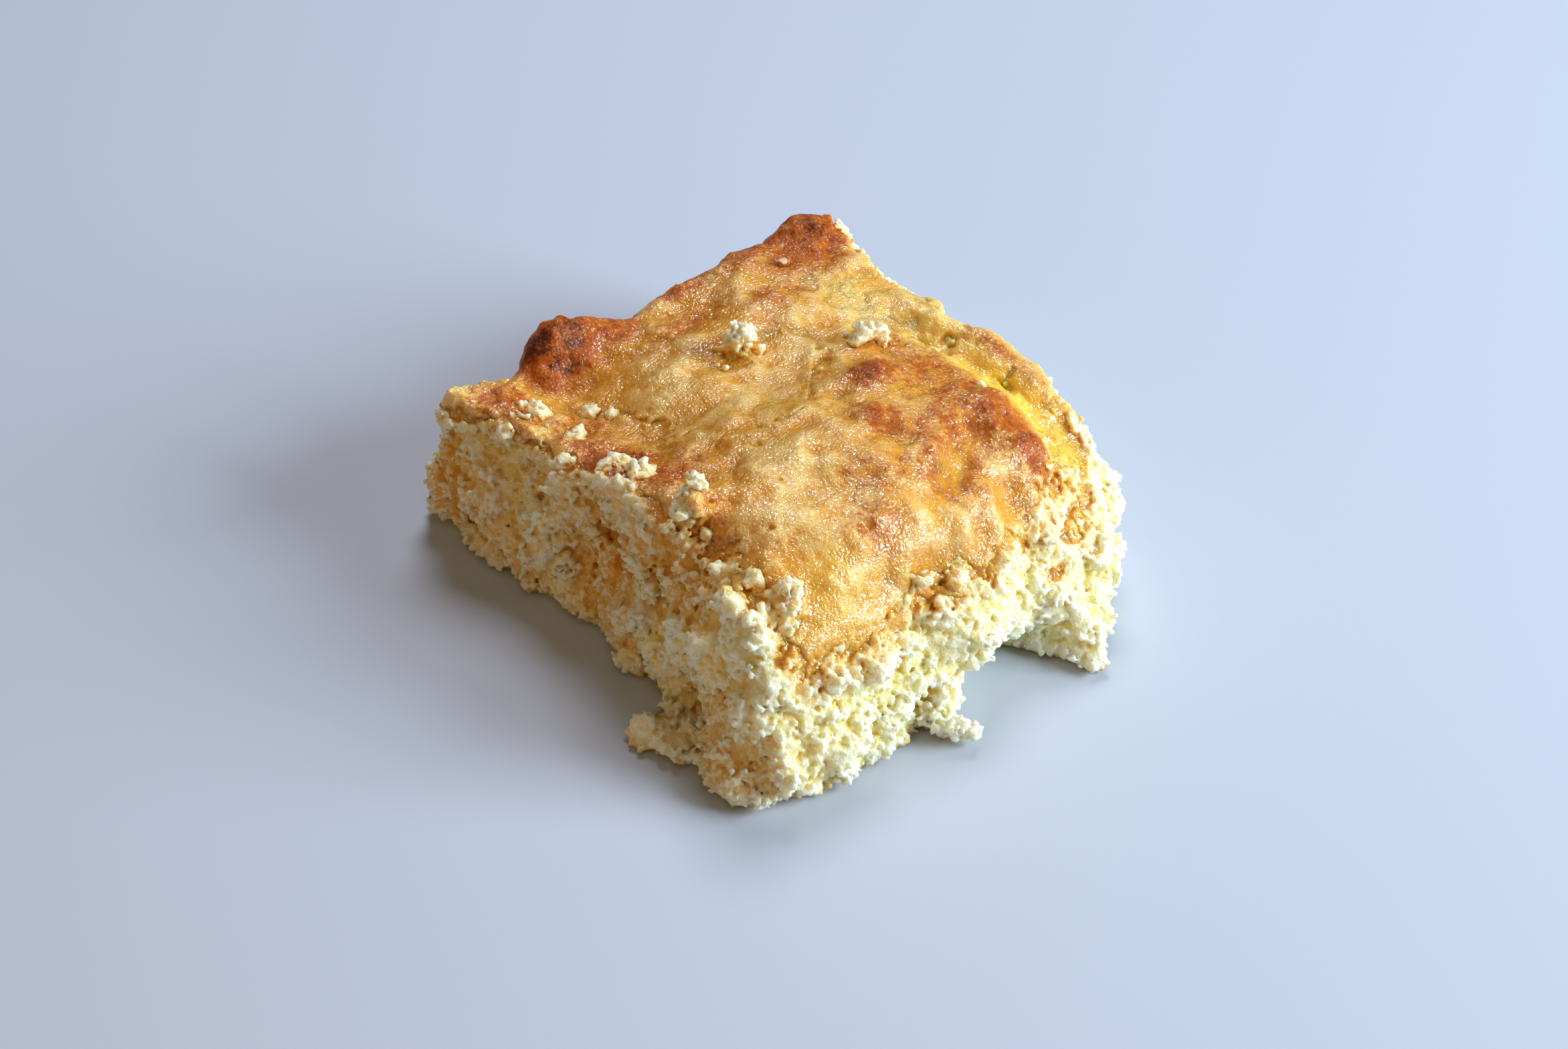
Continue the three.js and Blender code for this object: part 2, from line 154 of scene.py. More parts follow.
class Grid:
    """A box of voxels round the piece, with the distance field of its solid."""

    def __init__(self, node):
        mesh = node.data
        mesh.calc_loop_triangles()
        points = np.empty(len(mesh.vertices) * 3, np.float32)
        mesh.vertices.foreach_get("co", points)
        points = points.reshape(-1, 3) / MM
        corners = np.empty(len(mesh.loop_triangles) * 3, np.int32)
        mesh.loop_triangles.foreach_get("vertices", corners)
        band = math.ceil(BAND_MM / VOXEL)
        level_set = openvdb.FloatGrid.createLevelSetFromPolygons(
            points,
            triangles=corners.reshape(-1, 3).astype(np.uint32),
            transform=openvdb.createLinearTransform(VOXEL),
            halfWidth=band)
        self.low = np.floor(points.min(0) / VOXEL).astype(np.int32) - band
        self.shape = tuple(np.ceil(points.max(0) / VOXEL).astype(np.int32) + band - self.low)
        self.origin = tuple(int(n) for n in self.low)
        self.distance = np.empty(self.shape, np.float32)
        level_set.copyToArray(self.distance, ijk=self.origin)
        counts = zip(self.shape, self.low)
        self.axes = [((np.arange(count) + start) * VOXEL).astype(np.float32) for count, start in counts]

    def places(self, chosen):
        """The points, in millimetres, of the voxels chosen by a mask."""
        index = np.nonzero(chosen)
        return np.stack([axis[i] for axis, i in zip(self.axes, index)], 1)

    def sample(self, field, points):
        """Values of a field between its voxels, at points in millimetres."""
        place = points / VOXEL - self.low
        place = np.clip(place, 0, np.array(self.shape) - 1.001)
        return blend(place, lambda x, y, z: field[x, y, z], lambda part: part)

    def slopes(self, field, points):
        """Outward unit normals of a field at points in millimetres."""
        steps = np.eye(3, dtype=np.float32) * VOXEL
        rises = [self.sample(field, points + step) - self.sample(field, points - step) for step in steps]
        slopes = np.stack(rises, 1)
        return slopes / (np.linalg.norm(slopes, axis=1)[:, None] + 1e-6)

    def to_mesh(self, field):
        """Points and triangles of the surface where a field is zero."""
        grid = openvdb.FloatGrid(BAND_MM)
        grid.transform = openvdb.createLinearTransform(VOXEL)
        grid.copyFromArray(np.ascontiguousarray(field, np.float32), ijk=self.origin)
        points, triangles, quads = grid.convertToPolygons(0, 0)
        faces = np.concatenate([triangles.reshape(-1, 3), quads[:, [0, 1, 2]], quads[:, [0, 2, 3]]])
        return points.astype(np.float32), faces[:, ::-1].astype(np.int32)


def blend(place, numbers, ease):
    """Values between lattice points, from the eight round each place; ease shapes the way between them."""
    corners, parts = [], []
    for axis in range(3):
        corner = np.floor(place[:, axis])
        parts.append(ease((place[:, axis] - corner).astype(np.float32)))
        corners.append(corner.astype(np.int32))
    x, y, z = corners
    along, across, up = parts
    rows = []
    for i, j in ((0, 0), (1, 0), (0, 1), (1, 1)):
        low, high = numbers(x + i, y + j, z), numbers(x + i, y + j, z + 1)
        rows.append(low + (high - low) * up)
    near = rows[0] + (rows[1] - rows[0]) * along
    far = rows[2] + (rows[3] - rows[2]) * along
    return near + (far - near) * across


def blur(field, radius):
    """Three passes of a running mean, close to a Gaussian of the given radius in millimetres."""
    width = max(1, int(round(radius / VOXEL)))
    span = 2 * width + 1
    for _ in range(3):
        for axis in range(3):
            turned = np.moveaxis(field, axis, 0)
            edge = [(width + 1, width), (0, 0), (0, 0)]
            total = np.cumsum(np.pad(turned, edge, mode="edge"), axis=0, dtype=np.float64)
            field = np.moveaxis(((total[span:] - total[:-span]) / span).astype(np.float32), 0, axis)
    return np.ascontiguousarray(field)


# ---------------------------------------------------------------- noise

# How many steps the random lattice has before it repeats.
LATTICE = 64


def lattice(seed):
    """A block of random numbers from 0 to 1 that repeats in every direction."""
    return np.random.default_rng(seed).random((LATTICE, LATTICE, LATTICE), np.float32)


def noise(points, size, seed):
    """Smooth noise from -1 to 1 with waves of the given size in millimetres."""
    block = lattice(seed).ravel()

    def numbers(x, y, z):
        return block[((x % LATTICE) * LATTICE + y % LATTICE) * LATTICE + z % LATTICE]

    return 2 * blend(points / size, numbers, lambda part: part * part * (3 - 2 * part)) - 1


def cells(points, size, seed):
    """Distance to the nearest of points strewn one to a cell, in cells."""
    blocks = [(0.14 + 0.72 * lattice(seed + axis)).ravel() for axis in range(3)]
    place = (points / size).T.astype(np.float32)
    base = np.floor(place - 0.5).astype(np.int32)
    nearest = np.full(len(points), 9, np.float32)
    for step in np.ndindex(2, 2, 2):
        cell = base + np.array(step, np.int32)[:, None]
        wrapped = cell % LATTICE
        index = (wrapped[0] * LATTICE + wrapped[1]) * LATTICE + wrapped[2]
        gap = sum((cell[axis] + blocks[axis][index] - place[axis]) ** 2 for axis in range(3))
        nearest = np.minimum(nearest, gap)
    return np.sqrt(nearest)


def smoothstep(low, high, value):
    """Eases from 0 at low to 1 at high; low may be the larger of the two."""
    t = np.clip((value - low) / (high - low), 0, 1)
    return t * t * (3 - 2 * t)


# ---------------------------------------------------------------- places on the piece

# Where the crust ends on the sides: direction from the middle in degrees, height.
CRUST_LINE = [
    (0, 23.5), (12, 24.5), (30, 26), (44, 27), (50, 2), (121, 2), (124, 20), (130, 22.6), (140, 22.6),
    (148, 24.6), (155, 24.4), (164, 27.6), (177, 29.5), (185, 29.3), (192, 27.8), (199, 26.7), (209, 26.4),
    (216, 27.6), (222, 27.2), (226, 21), (232, 16.6), (243, 17.4), (259, 19), (271, 18.3), (287, 20.5),
    (303, 18.6), (312, 21), (323, 22.4), (333, 23), (345, 23.5), (360, 23.5),
]
# Flakes and crumbs of pale crumb on the crust: middle and reach.
PALE_CRUMBS = [
    (4.6, 20.3, 30.4, 3.4), (20, 9.8, 30.9, 2.2), (21.8, 8.8, 30.5, 2.0), (26.2, -9.6, 30, 0.9),
    (23.8, 32.8, 27.8, 0.9), (-24.4, -4.8, 33.4, 2.2), (-26.4, -5, 32.2, 1.8), (-28, -6.2, 30.6, 2),
    (-25.6, 6.4, 28.8, 2.4), (-25.8, 11.3, 27, 2.2), (-24.6, 22, 24.2, 1.6), (-25.8, 29.8, 23.8, 2.2),
    (-28.6, -15, 26.6, 1.5), (-24.4, -26.2, 28.6, 2.0), (-25.6, -27.2, 26.6, 2.1), (-26.4, -28.2, 24.4, 1.9),
    (-31.8, -22.6, 26.8, 2.0), (-31.2, -25.8, 26.6, 1.9), (-32.2, -28.2, 24.6, 1.8),
    (-30.7, -31.6, 18.8, 1.6), (-22.6, -34.8, 17.4, 2.4), (-26.7, -33.6, 16.4, 1.5), (-14.4, -35.2, 16, 2.6),
    (20.3, -31, 18.6, 2.6), (-3.5, -31.1, 22.6, 1.8), (2, -32.4, 20.8, 1.8),
]

# Browned, pale and buttery places on the crust, as ellipses seen from above: middle x and y, half sizes,
# turn in degrees, strength.
BROWNED = [
    (-14, 38.4, 8, 5, 8, 1.15), (-17.5, 40.2, 4.5, 3, 0, 1.4), (-5, 39.4, 6, 5, 0, 0.95),
    (9, 40.4, 7, 4, 0, 0.9), (23, 40.4, 9, 5, 10, 0.9), (33, 36.4, 7, 8, 0, 1.0), (27.5, 35, 8, 8, 0, 0.85),
    (4, 31.4, 10, 3.5, 5, 0.55), (19, 27.4, 8, 3.5, 0, 0.55), (-28, 33.4, 5, 8, 0, 0.8),
    (-23, 22.4, 7, 9, 0, 0.5), (-25, 10.4, 5, 11, 4, 0.95), (-21, 3.4, 6, 6, 0, 0.6),
    (-25, -7.6, 4, 6, 0, 0.4), (-27, -12.6, 4, 6, 0, 0.3), (-7.5, -24.2, 7, 3, 10, 0.6),
    (-2.6, -15.4, 5, 3, 0, 0.4), (0.6, -18.6, 6, 3.5, 15, 0.5), (14.4, 1, 6, 3.6, 10, 0.95),
    (7, -9.1, 4, 5.5, 10, 0.95),
    (12, -16, 6, 7, 0, 0.75), (9.5, -21, 7, 5, 0, 0.8), (11, -25.6, 6, 3, 20, 0.45),
    (22, -8, 8, 20, 0, 0.65), (23.5, -15.1, 6, 9, 0, 0.8), (24.5, -22.1, 4, 3.5, 0, 0.95),
    (27, 2.4, 3, 8, 0, 0.5),
    (35.4, -3.6, 2, 12, 0, 0.6),
]
# Pale places on the crust; those at x 26 and 31 are painted light on crust in shade beside the trench.
PALE_AND_LIT = [
    (3, 12.4, 11, 4, 15, 0.45), (-10, -9.6, 5, 8, 0, 0.5), (16, 12.4, 8, 4, 0, 0.4),
    (-9, 20.4, 7, 5, 0, 0.35), (14, -9.6, 3, 5, 0, 0.3), (26, 18.4, 5, 9, 0, 0.6), (31, 5, 4, 8, 0, 0.9),
    (-17, -17.6, 4, 5, 0, 0.45),
]
BUTTERY = [
    (31, 6, 3.5, 8, 12, 0.6), (31.6, -9.6, 3.4, 12, 3, 1.0), (28.5, 20.4, 4, 7, 10, 0.5),
    (11, -20.6, 6, 2.4, 30, 0.4), (32, -21.6, 3, 5, 0, 0.7), (-17, -28.6, 7, 5, 0, 0.4),
]

# Clefts: one end, other end, half width.
CLEFTS = [
    ((-28.2, -21.6, 27.9), (-30.9, -22.2, 26.2), 0.5), ((-5.2, -31.4, 20.4), (-2.4, -33.4, 18.4), 0.7),
    ((-1.8, -31, 20.6), (6.5, -32.8, 20.8), 0.5), ((-33, -10.5, 17.3), (-32.4, -11.6, 18), 0.9),
    ((-15.6, -33.8, 19.4), (-9, -32.6, 20.6), 0.5), ((-27.4, -31.6, 20.6), (-24.2, -32.4, 19.8), 0.45),
]

# Crumb coloured golden, partly by butter and heat and partly as painted warm shade and glow on the side away
# from the lamps: middle, reach, strength.
GOLDEN_AND_SHADE = [
    (-29, -8, 22, 10, 0.9), (-33, 37, 12, 14, 1.0), (-34, 40, 22, 8, 0.9), (-30, 22, 20, 8, 0.65),
    (-28, 6, 12, 12, 0.95), (-34, 10, 8, 18, 0.8), (-38, -30, 5, 9, 0.6), (-34, -22, 8, 10, 0.6),
    (-32, 14, 6, 26, 0.75), (-40, -14, 2, 7, 0.4),
]
# Crumb of the same side that is paler, with less of that golden colour and painted shade, on the leaning
# column and beside the cleft.
LESS_GOLDEN = [
    (-33.4, 34, 18, 3, 0.6), (-32.5, 27.6, 15.3, 4, 0.7), (-33.5, 19.7, 13.6, 3.5, 0.8),
    (-34.3, 15.4, 9, 3.5, 0.8), (-33, 14.7, 3.7, 3, 0.7), (-33.2, -6, 9.4, 3, 0.7),
    (-34.5, -12.2, 14.7, 3.5, 0.7), (-32.9, -16.8, 11.2, 4, 0.6),
]


def ellipses(points, forms):
    """How strongly each point, seen from above, lies in one of a list of ellipses."""
    total = np.zeros(len(points), np.float32)
    for x, y, rx, ry, turn, strength in forms:
        dx, dy = points[:, 0] - x, points[:, 1] - y
        c, s = math.cos(math.radians(turn)), math.sin(math.radians(turn))
        reach = ((dx * c + dy * s) / rx) ** 2 + ((dy * c - dx * s) / ry) ** 2
        total = np.maximum(total, strength * np.exp(-reach ** 1.4))
    return total


def above_line(points):
    """Height of each point over the edge of the crust."""
    direction = np.degrees(np.arctan2(points[:, 1], points[:, 0])) % 360
    angles, heights = np.array(CRUST_LINE, np.float32).T
    return points[:, 2] - np.interp(direction, angles, heights).astype(np.float32)


def near_crumbs(points, crumbs):
    """How near each point is to a pale crumb, in reaches of that crumb, with a ragged edge."""
    nearest = np.full(len(points), 9, np.float32)
    for x, y, z, reach in crumbs:
        close = np.abs(points[:, 0] - np.float32(x)) < 2 * reach
        gap = np.linalg.norm(points[close] - np.float32((x, y, z)), axis=1) / reach
        nearest[close] = np.minimum(nearest[close], gap)
    close = nearest < 2
    nearest[close] *= 1 + 0.5 * noise(points[close], 1.8, 71) + 0.4 * noise(points[close], 0.9, 72)
    return nearest


def clefts(points):
    """Distance in millimetres to the ragged clefts in the piece, negative inside them."""
    nearest = np.full(len(points), 9, np.float32)
    for start, end, width in CLEFTS:
        start, along = np.float32(start), np.float32(end) - np.float32(start)
        share = np.clip((points - start) @ along / (along @ along), 0, 1)
        gap = np.linalg.norm(points - start - share[:, None] * along, axis=1) - width
        nearest = np.minimum(nearest, gap)
    close = nearest < 2
    nearest[close] += 0.5 * noise(points[close], 1.1, 73)
    return nearest


def golden_and_shade(points):
    """How golden the crumb is at each point, from 0 to 1; partly butter and heat, partly painted warm shade
    and glow.
    """
    total = np.zeros(len(points), np.float32)
    for x, y, z, reach, strength in GOLDEN_AND_SHADE:
        gap = np.linalg.norm(points - np.float32((x, y, z)), axis=1) / reach
        total = np.maximum(total, strength * np.exp(-gap ** 2))
    for x, y, z, reach, strength in LESS_GOLDEN:
        gap = np.linalg.norm(points - np.float32((x, y, z)), axis=1) / reach
        total *= 1 - strength * np.exp(-gap ** 2)
    return total


def masks(points, normals):
    """Shares of crust, pan side and bottom crust, and how far each point lies in from the crust's edge."""
    ragged = 0.5 * noise(points, 3.4, 11) + 0.35 * noise(points, 1.5, 12) + 0.25 * noise(points, 0.8, 13)
    over = above_line(points) + 4.4 * ragged
    flat = 9 * (normals[:, 2] - 0.7) + 2.2 * ragged
    # All above the line is crust, and to 5 mm below it what faces up.
    inside = np.maximum(over, np.minimum(flat, over + 5))
    crust = smoothstep(-0.5, 0.5, inside)
    pan = smoothstep(0.55, 0.8, normals[:, 1]) * smoothstep(36, 40, points[:, 1])
    base = 1 - smoothstep(0.6, 1.8, points[:, 2] + 0.8 * ragged)
    return crust, pan, base, inside


# ---------------------------------------------------------------- carving

def crumb_relief(points):
    """How far torn crumb stands out or falls back at each point, in millimetres."""
    warp = [noise(points, 2.6, seed) + 0.45 * noise(points, 1.1, seed + 4) for seed in (21, 22, 23)]
    warp = np.stack(warp, 1)
    relief = 1.2 * smoothstep(0.7, 0.34, cells(points + 1.7 * warp, 5.2, 31)) - 0.7
    relief += 0.7 * (0.5 - cells(points + 1.2 * warp, 2.2, 41))
    relief += 0.4 * (0.5 - cells(points + 0.3 * warp, 1.15, 45))
    relief += 0.35 * noise(points, 1.4, 51) + 0.35 * noise(points, 0.7, 52)
    return relief - 0.6 * smoothstep(0.35, 0.8, noise(points, 4.2, 62))


def crust_relief(points, brown):
    """How far the crust stands out or falls back at each point, in millimetres."""
    relief = 0.6 * noise(points, 6.5, 81) + 0.45 * noise(points, 3.0, 82)
    return relief + (0.1 + 0.25 * brown) * noise(points, 1.5, 83) + 0.12 * noise(points, 0.9, 84)


# The power that rounds the corners of a grain, and how many grains are worked out at a time.
ROUNDING = 8
BATCH = 4000


def add_grains(grid, field, places, sizes, draw):
    """Joins grains of crumb with rounded corners to a field, centred on the given points."""
    half = int(np.ceil(1.25 * sizes[1] / VOXEL))
    steps = np.stack(np.meshgrid(*[np.arange(-half, half + 1)] * 3, indexing="ij"), -1).reshape(-1, 3)
    count = len(places)
    size = sizes[0] + (sizes[1] - sizes[0]) * draw.random(count) ** 2
    axes = size[:, None] * (0.6 + 0.6 * draw.random((count, 3)))
    turns, _ = np.linalg.qr(draw.normal(size=(count, 3, 3)))
    turns = (turns / axes[:, None]).astype(np.float32)
    centres = (places / VOXEL - grid.low).astype(np.float32)
    for start in range(0, count, BATCH):
        part = slice(start, start + BATCH)
        voxels = np.round(centres[part]).astype(np.int32)[:, None] + steps
        away = (voxels - centres[part][:, None]) * np.float32(VOXEL)
        away = np.einsum("nvi,nij->nvj", away, turns[part])
        reach = (away ** ROUNDING).sum(2) ** (1 / ROUNDING)
        distance = (reach - 1) * size[part][:, None]
        i, j, k = voxels.reshape(-1, 3).T
        np.minimum.at(field, (i, j, k), distance.reshape(-1).astype(np.float32))


def strewn_crumbs(skin, draw):
    """Small pale crumbs along the torn edge of the crust: middle and reach."""
    x, y, z = skin.points.T
    edge = (np.abs(skin.distance) < 0.5 * VOXEL) & (np.abs(skin.inside - 1) < 2)
    torn_sides = (x < STREWN_X) & (y < STREWN_Y) & (z > STREWN_HEIGHT) & (np.hypot(x, y) > STREWN_OUT)
    places = skin.points[edge & torn_sides]
    chosen = places[draw.choice(len(places), STREWN, replace=False)]
    return [(*place, reach) for place, reach in zip(chosen, draw.uniform(*STREWN_REACH, STREWN))]


class Skin:
    """The voxels near the surface of the smoothed solid, and what lies at each."""

    def __init__(self, grid, draw):
        self.smooth = np.minimum(blur(grid.distance, SMOOTHING_MM), grid.distance + KEPT_MM)
        self.near = np.abs(self.smooth) < CARVED_MM
        self.points = grid.places(self.near)
        self.distance = self.smooth[self.near]
        normals = np.stack([part[self.near] for part in np.gradient(self.smooth, VOXEL)], 1)
        normals /= np.linalg.norm(normals, axis=1)[:, None] + 1e-6
        self.crust, self.pan, self.base, self.inside = masks(self.points, normals)
        self.crumbs = PALE_CRUMBS + strewn_crumbs(self, draw)
        self.loose = 1 - smoothstep(0.75, 1.15, near_crumbs(self.points, self.crumbs))
        self.cleft = clefts(self.points)


def carve_crumb(grid, skin, draw):
    """The field of the crumb, rough where it is torn, with its grains and the pale crumbs."""
    bare = (1 - skin.crust) * (1 - skin.pan) * (1 - skin.base)
    torn = np.maximum(bare, 0.9 * skin.loose)
    rough = torn > 0.01
    loose = skin.loose[rough]
    relief = crumb_relief(skin.points[rough])
    # Just below the edge of the crust the crumb stands out less.
    below_crust = smoothstep(-3.5, 0, skin.inside[rough]) * (1 - loose)
    relief = np.where(relief > 0, relief * (1 - 0.7 * below_crust), relief)
    # The pale crumbs don't fall back, and have a finer relief besides.
    relief = np.maximum(relief, -2 * (1 - loose)) + 0.7 * loose * noise(skin.points[rough], 1.0, 53)
    crumb = skin.distance + UNDER_CRUST_MM * skin.crust
    crumb[rough] -= torn[rough] * relief
    field = skin.smooth.copy()
    field[skin.near] = np.maximum(crumb, -skin.cleft)
    for count, sizes, height in GRAINS:
        surface = (np.abs(crumb - height) < 0.5 * VOXEL) & rough & (skin.points[:, 2] > LOWEST_GRAIN_MM)
        chosen = draw.random(surface.sum()) < count * (1 + 2 * skin.loose[surface]) * VOXEL ** 2
        add_grains(grid, field, skin.points[surface][chosen], sizes, draw)
    for x, y, z, reach in skin.crumbs:
        count = int(CRUMB_GRAINS * reach ** 2)
        strewn = draw.normal(size=(count, 3))
        strewn *= (0.8 * reach * draw.random(count) ** 0.33 / np.linalg.norm(strewn, axis=1))[:, None]
        add_grains(grid, field, strewn * (1, 1, 0.6) + (x, y, z), CRUMB_GRAIN_SIZES, draw)
    return np.maximum(field, -grid.axes[2])


def carve_crust(skin):
    """The field of the crust, a layer on the top and on the pan side."""
    browned = np.maximum(skin.crust, skin.pan)
    covered = browned > 0.01
    points, distance = skin.points[covered], skin.distance[covered]
    slab = distance - crust_relief(points, ellipses(points, BROWNED))
    # It dips towards its edge and under the pale crumbs.
    slab += 0.8 * (1 - smoothstep(0.0, 3.0, skin.inside[covered])) + 0.8 * skin.loose[covered]
    slab = np.maximum(slab, -(distance + CRUST_MM + 0.5 * noise(points, 2.2, 87)))
    slab = np.maximum(slab, 4 * (0.5 - browned[covered]))
    slab = np.maximum(slab, -skin.cleft[covered])
    layer = np.full(len(skin.points), BAND_MM, np.float32)
    layer[covered] = np.maximum(slab, -points[:, 2])
    field = np.full_like(skin.smooth, BAND_MM)
    field[skin.near] = layer
    return field


# ---------------------------------------------------------------- meshes

def largest_part(points, faces):
    """The one body of a mesh with the most points, without loose scraps."""
    label = np.arange(len(points))
    edges = np.concatenate([faces[:, :2], faces[:, 1:]])
    while True:
        low = np.minimum(label[edges[:, 0]], label[edges[:, 1]])
        fresh = label.copy()
        np.minimum.at(fresh, edges[:, 0], low)
        np.minimum.at(fresh, edges[:, 1], low)
        fresh = fresh[fresh]
        if np.array_equal(fresh, label):
            break
        label = fresh
    keep = label == np.bincount(label).argmax()
    number = np.cumsum(keep) - 1
    return points[keep], number[faces[keep[faces[:, 0]]]]


def outward(points, faces):
    """The triangles of a closed mesh, turned to face outwards."""
    corners = points[faces].astype(np.float64)
    volume = np.einsum("ij,ij->i", corners[:, 0], np.cross(corners[:, 1], corners[:, 2])).sum()
    return faces if volume > 0 else faces[:, ::-1]


def new_mesh(name, points, faces):
    """A smooth-shaded mesh object from points in millimetres."""
    mesh = bpy.data.meshes.new(name)
    mesh.vertices.add(len(points))
    mesh.vertices.foreach_set("co", (points * MM).astype(np.float32).ravel())
    mesh.loops.add(len(faces) * 3)
    mesh.loops.foreach_set("vertex_index", faces.astype(np.int32).ravel())
    mesh.polygons.add(len(faces))
    mesh.polygons.foreach_set("loop_start", np.arange(0, len(faces) * 3, 3, dtype=np.int32))
    mesh.polygons.foreach_set("use_smooth", np.ones(len(faces), bool))
    mesh.update()
    mesh.validate()
    piece = bpy.data.objects.new(name, mesh)
    bpy.context.scene.collection.objects.link(piece)
    return piece


def thin_out(piece, limit):
    """Joins small triangles until a piece has no more than the limit."""
    modifier = piece.modifiers.new("thin", "DECIMATE")
    modifier.ratio = min(1, limit / len(piece.data.polygons))
    graph = bpy.context.evaluated_depsgraph_get()
    thinned = bpy.data.meshes.new_from_object(piece.evaluated_get(graph))
    piece.modifiers.clear()
    piece.data = thinned


def vertices_of(piece):
    """The points of a piece in millimetres."""
    points = np.empty(len(piece.data.vertices) * 3, np.float32)
    piece.data.vertices.foreach_get("co", points)
    return points.reshape(-1, 3) / MM


def set_values(piece, name, values):
    """Stores a named value for each point of a piece."""
    attribute = piece.data.attributes.new(name, "FLOAT", "POINT")
    attribute.data.foreach_set("value", np.asarray(values, np.float32))


def paint(piece, grid, skin, occupancy):
    """Writes what the material needs to know at each point of a piece."""
    points = vertices_of(piece)
    crust, pan, base, _ = masks(points, grid.slopes(skin.smooth, points))
    if piece.name == "crumb":
        crust *= smoothstep(0.9, 1.2, near_crumbs(points, skin.crumbs))
    set_values(piece, "crust", np.maximum(crust, np.maximum(pan, base)))
    brown_top = ellipses(points, BROWNED) + 0.15 * noise(points, 4, 91)
    brown_side = (0.5 + 0.25 * noise(points, 7, 92)) * pan
    set_values(piece, "brown", np.maximum(brown_top, brown_side))
    # Pale places on the crust, some of them painted light on crust in shade.
    set_values(piece, "pale", ellipses(points, PALE_AND_LIT))
    set_values(piece, "butter", ellipses(points, BUTTERY))
    # How full the space round each point is, for the painted shade in hollows and painted light where the
    # surface stands out.
    set_values(piece, "hollow_shade", grid.sample(occupancy, points))
    # Crumb is toasted below the crust; the clefts are darkened with the toasted colour as painted shade, and
    # the golden places take a colour that is partly painted warm shade.
    toast_and_shade = 0.4 * smoothstep(-4.0, 0.5, above_line(points) + 2.0 * noise(points, 3.4, 11))
    toast_and_shade = np.maximum(toast_and_shade, 0.9 * smoothstep(1.0, 0.1, clefts(points)))
    set_values(piece, "toast_and_shade", np.maximum(toast_and_shade, golden_and_shade(points)))


# ---------------------------------------------------------------- materials

def tone(red, green, blue):
    """A colour given as it looks on screen, from 0 to 255, in linear values."""
    def linear(value):
        value /= 255
        return value / 12.92 if value <= 0.04045 else ((value + 0.055) / 1.055) ** 2.4
    return (linear(red), linear(green), linear(blue), 1)


class Shader:
    """Short ways to add and join nodes. Sizes are millimetres."""

    def __init__(self, name):
        self.material = bpy.data.materials.new(name)
        self.material.use_nodes = True
        self.nodes = self.material.node_tree.nodes
        self.links = self.material.node_tree.links
        self.principled = self.nodes["Principled BSDF"]
        self.coordinates = self.nodes.new("ShaderNodeTexCoord").outputs["Object"]

    def join(self, source, socket):
        if isinstance(source, (int, float, tuple)):
            socket.default_value = source
        else:
            self.links.new(source, socket)

    def value(self, name):
        node = self.nodes.new("ShaderNodeAttribute")
        node.attribute_name = name
        return node.outputs["Fac"]

    def math(self, operation, first, second=0.0, clamp=False):
        node = self.nodes.new("ShaderNodeMath")
        node.operation = operation
        node.use_clamp = clamp
        self.join(first, node.inputs[0])
        self.join(second, node.inputs[1])
        return node.outputs[0]

    def noise(self, size, detail=3.0, rough=0.6):
        node = self.nodes.new("ShaderNodeTexNoise")
        node.inputs["Scale"].default_value = 1 / (size * MM)
        node.inputs["Detail"].default_value = detail
        node.inputs["Roughness"].default_value = rough
        self.links.new(self.coordinates, node.inputs["Vector"])
        return node.outputs["Fac"]

    def grains(self, size):
        node = self.nodes.new("ShaderNodeTexVoronoi")
        node.inputs["Scale"].default_value = 1 / (size * MM)
        self.links.new(self.coordinates, node.inputs["Vector"])
        return node.outputs["Distance"]

    def remap(self, source, low, high, to_low=0.0, to_high=1.0):
        node = self.nodes.new("ShaderNodeMapRange")
        node.inputs["From Min"].default_value = low
        node.inputs["From Max"].default_value = high
        node.inputs["To Min"].default_value = to_low
        node.inputs["To Max"].default_value = to_high
        self.links.new(source, node.inputs["Value"])
        return node.outputs["Result"]

    def mix(self, share, first, second):
        node = self.nodes.new("ShaderNodeMix")
        node.data_type = "RGBA"
        self.join(share, node.inputs["Factor"])
        self.join(first, node.inputs[6])
        self.join(second, node.inputs[7])
        return node.outputs[2]

    def between(self, share, first, second):
        node = self.nodes.new("ShaderNodeMix")
        self.join(share, node.inputs["Factor"])
        self.join(first, node.inputs[2])
        self.join(second, node.inputs[3])
        return node.outputs[0]


# The whitish and deep yellow crumb are lit and shaded copies of its yellow: painted light where it stands
# out, painted shade in the hollows.
CRUMB_LIT_WHITE = tone(253, 248, 224)
CRUMB_YELLOW = tone(252, 242, 196)
CRUMB_SHADED_DEEP = tone(252, 230, 148)
# The toasted colour is also painted shade, in the clefts and on the golden side.
CRUMB_TOAST_AND_SHADE = tone(228, 164, 44)
CRUST_CREAM = tone(245, 213, 136)
CRUST_AMBER = tone(218, 150, 32)
CRUST_BROWN = tone(178, 88, 2)
CRUST_DARK = tone(96, 32, 2)
BUTTER_YELLOW = tone(254, 204, 66)


def crumb_colour(s, specks, middle):
    """Painted light and shade: whitish where it stands out, yellow between, deep yellow in the hollows;
    toasted by the crust, with painted shade in the clefts and golden places.
    """
    shade_depth = s.remap(s.value("hollow_shade"), 0.3, 0.7, 0.24, 0.76)
    shade_depth = s.math("ADD", shade_depth, s.remap(specks, 0.1, 0.66, -0.12, 0.12))
    shade_depth = s.math("ADD", shade_depth, s.remap(s.grains(1.0), 0.1, 0.66, -0.08, 0.08))
    shade_depth = s.math("ADD", shade_depth, s.remap(middle, 0.3, 0.7, -0.08, 0.08))
    colour = s.mix(s.remap(shade_depth, 0.34, 0.56), CRUMB_LIT_WHITE, CRUMB_YELLOW)
    colour = s.mix(s.remap(shade_depth, 0.56, 0.82), colour, CRUMB_SHADED_DEEP)
    toast_and_shade = s.math("MULTIPLY", s.value("toast_and_shade"), s.remap(shade_depth, 0.3, 0.6, 0.4, 1.0), clamp=True)
    return s.mix(toast_and_shade, colour, CRUMB_TOAST_AND_SHADE)


